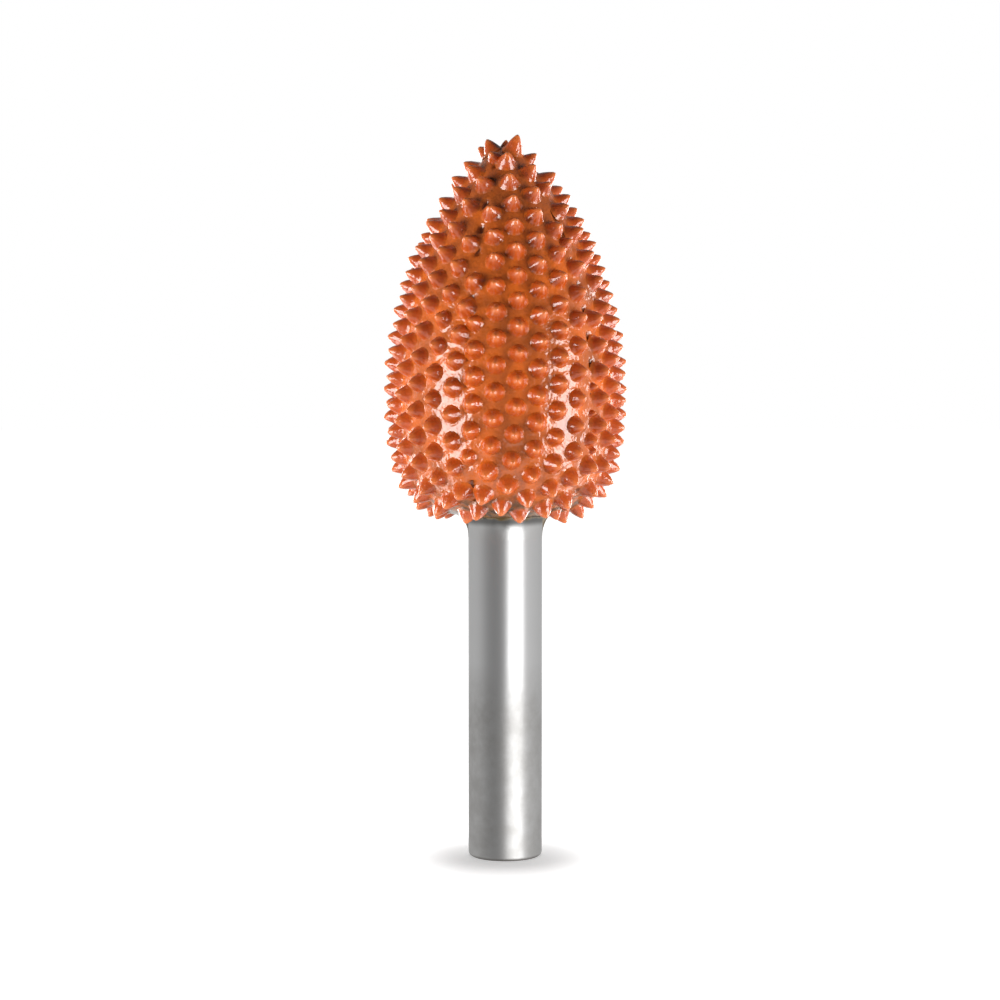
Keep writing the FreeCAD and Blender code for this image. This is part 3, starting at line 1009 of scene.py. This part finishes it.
@dataclass
class Studio:
    """Camera, white floor, soft lamps and the white surround."""

    camera_place: tuple[float, float, float] = (-0.45, -220.0, 46.0)
    camera_aim: tuple[float, float, float] = (-0.45, 0.0, 30.8)
    lens: float = 92.5
    floor_radius: float = 900.0
    floor_glow: tuple[float, float] = (0.5, 1.0)
    glow_from: tuple[float, float] = (3.3, 9.8)
    fill: float = 0.03
    # what metal mirrors round the level, from the back over the left, the front and the right to the back
    surround: tuple[tuple[float, float], ...] = (
        (-180, 0.95), (-166, 0.88), (-150, 0.5), (-133, 0.51), (-98, 0.54), (-78, 0.46), (-55, 0.28),
        (-32, 0.245), (40, 0.245), (66, 0.46), (78, 0.66), (140, 0.52), (150, 0.5), (168, 0.88), (180, 0.95))
    # elevations in degrees between which the surround dims
    dim_above: tuple[float, float] = (5.0, 35.0)
    dimmed: float = 0.35
    belly_height: float = 39.7
    shank_height: float = 16.0
    for_lacquer: tuple[Softbox, ...] = (
        Softbox("low_left", -59.0, -6.0, 300.0, 180.0, 175.0, 11.8),
        Softbox("low_right", 65.0, -7.0, 300.0, 165.0, 185.0, 11.1),
        Softbox("low_front", 0.0, -50.0, 300.0, 420.0, 260.0, 1.1),
        Softbox("side_left", -95.0, -38.0, 300.0, 150.0, 110.0, 4.5),
        Softbox("side_right", 95.0, -38.0, 300.0, 150.0, 110.0, 4.5),
        Softbox("back_left", -142.0, -5.0, 300.0, 180.0, 200.0, 6.0),
        Softbox("back_right", 142.0, -5.0, 300.0, 180.0, 200.0, 6.0))
    strip: Softbox = Softbox("strip", 33.0, -15.0, 250.0, 215.0, 310.0, 2.4)
    overhead: Softbox = Softbox("overhead", 180.0, 80.0, 400.0, 160.0, 160.0, 14.0)

    def camera(self) -> None:
        """Sets the camera at the photograph's viewing angle."""
        lens = bpy.data.cameras.new("photo_camera")
        lens.lens = self.lens
        lens.sensor_width = 36.0
        lens.clip_start = 0.01
        camera = bpy.data.objects.new("photo_camera", lens)
        bpy.context.scene.collection.objects.link(camera)
        place, aim = Vector(self.camera_place), Vector(self.camera_aim)
        camera.location = place * MM
        camera.rotation_euler = (aim - place).to_track_quat("-Z", "Y").to_euler()
        bpy.context.scene.camera = camera

    def floor(self) -> bpy.types.Object:
        """Lays the white floor, which keeps the shadow of the burr.

        Returns:
            The floor.
        """
        bm = bmesh.new()
        bmesh.ops.create_circle(bm, cap_ends=True, radius=self.floor_radius * MM, segments=96)
        mesh = bpy.data.meshes.new("floor")
        bm.to_mesh(mesh)
        bm.free()
        floor = bpy.data.objects.new("floor", mesh)
        bpy.context.scene.collection.objects.link(floor)
        material = bpy.data.materials.new("white_floor")
        material.use_nodes = True
        tree = material.node_tree
        tree.nodes.clear()
        path = add_node(tree, "ShaderNodeLightPath")
        paper = add_node(tree, "ShaderNodeBsdfDiffuse", {"Color": (0.8, 0.8, 0.8, 1.0)})
        place = add_node(tree, "ShaderNodeTexCoord").outputs["Object"]
        off_axis = add_node(tree, "ShaderNodeVectorMath", {"operation": "LENGTH", 0: place}).outputs["Value"]
        # the glow is weaker near the axis, so the lamp's shadow of the burr shows there and washes out further off
        level = add_node(tree, "ShaderNodeMapRange", {
            "interpolation_type": "SMOOTHSTEP", "From Min": self.glow_from[0] * MM,
            "From Max": self.glow_from[1] * MM, "To Min": self.floor_glow[0], "To Max": self.floor_glow[1],
            "Value": off_axis}).outputs["Result"]
        seen = add_node(tree, "ShaderNodeMath", {
            "operation": "MULTIPLY", 0: path.outputs["Is Camera Ray"], 1: level}).outputs["Value"]
        glow = add_node(tree, "ShaderNodeEmission", {"Color": WHITE, "Strength": seen})
        both = add_node(tree, "ShaderNodeAddShader", {0: paper.outputs["BSDF"], 1: glow.outputs["Emission"]})
        add_node(tree, "ShaderNodeOutputMaterial", {"Surface": both.outputs["Shader"]})
        mesh.materials.append(material)
        floor.visible_glossy = False
        floor.visible_shadow = False
        return floor

    def world(self) -> None:
        """Paints the surround: white behind the burr, a plain fill on it, and what metal mirrors."""
        world = bpy.data.worlds.new("white_surround")
        world.use_nodes = True
        bpy.context.scene.world = world
        tree = world.node_tree
        tree.nodes.clear()
        path = add_node(tree, "ShaderNodeLightPath")
        way = add_node(tree, "ShaderNodeTexCoord").outputs["Generated"]
        parts = add_node(tree, "ShaderNodeSeparateXYZ", {"Vector": way})
        depth = add_node(tree, "ShaderNodeMath", {
            "operation": "MULTIPLY", 0: parts.outputs["Y"], 1: -1.0}).outputs["Value"]
        turn = add_node(tree, "ShaderNodeMath", {
            "operation": "ARCTAN2", 0: parts.outputs["X"], 1: depth}).outputs["Value"]
        share = add_node(tree, "ShaderNodeMapRange", {
            "From Min": -math.pi, "From Max": math.pi, "Value": turn}).outputs["Result"]
        stops = [((azimuth + 180.0) / 360.0, (level,) * 3 + (1.0,)) for azimuth, level in self.surround]
        ring = add_node(tree, "ShaderNodeValToRGB", {"stops": stops, "Fac": share}).outputs["Color"]
        low, high = (math.sin(math.radians(elevation)) for elevation in self.dim_above)
        top = add_node(tree, "ShaderNodeMapRange", {
            "interpolation_type": "SMOOTHSTEP", "From Min": low, "From Max": high, "To Min": 1.0,
            "To Max": self.dimmed, "Value": parts.outputs["Z"]}).outputs["Result"]
        fill = add_node(tree, "ShaderNodeBackground", {"Color": WHITE, "Strength": self.fill})
        mirrored = add_node(tree, "ShaderNodeBackground", {"Color": ring, "Strength": top})
        white = add_node(tree, "ShaderNodeBackground", {"Color": WHITE, "Strength": 1.0})
        glossy = add_node(tree, "ShaderNodeMixShader", {
            0: path.outputs["Is Glossy Ray"], 1: fill.outputs["Background"],
            2: mirrored.outputs["Background"]})
        through = add_node(tree, "ShaderNodeMath", {
            "operation": "MAXIMUM", 0: path.outputs["Is Camera Ray"],
            1: path.outputs["Is Transmission Ray"]}).outputs["Value"]
        seen = add_node(tree, "ShaderNodeMixShader", {
            0: through, 1: glossy.outputs["Shader"], 2: white.outputs["Background"]})
        add_node(tree, "ShaderNodeOutputWorld", {"Surface": seen.outputs["Shader"]})

    def lamps(self, head: list[bpy.types.Object], metal: list[bpy.types.Object],
              floor: bpy.types.Object) -> None:
        """Hangs the lamps: soft ones all round for the lacquer, a strip for the bare metal and one overhead.

        Args:
            head: The lacquered pieces.
            metal: The pieces of bare metal.
            floor: The floor, which only the overhead lamp lights.
        """
        belly = UP * self.belly_height
        lacquered = group("lacquered", head)
        for lamp in self.for_lacquer:
            lamp.build(belly, lacquered)
        self.strip.build(UP * self.shank_height, group("bare_metal", metal))
        self.overhead.build(belly, group("under_the_overhead_lamp", [*metal, floor]))

    def build(self, head: list[bpy.types.Object], metal: list[bpy.types.Object]) -> None:
        """Sets the whole studio.

        Args:
            head: The lacquered pieces.
            metal: The pieces of bare metal.
        """
        self.camera()
        floor = self.floor()
        self.world()
        self.lamps(head, metal, floor)


def main() -> None:
    """Builds the burr from the head down, and the studio round it."""
    logging.basicConfig(level=logging.INFO, format="%(message)s")
    head = ToothedHead().build()
    metal = [BrazeRing().build(), Shank().build()]
    Studio().build(head, metal)
    bpy.context.scene.view_settings.view_transform = "Standard"


if __name__ == "__main__":
    main()
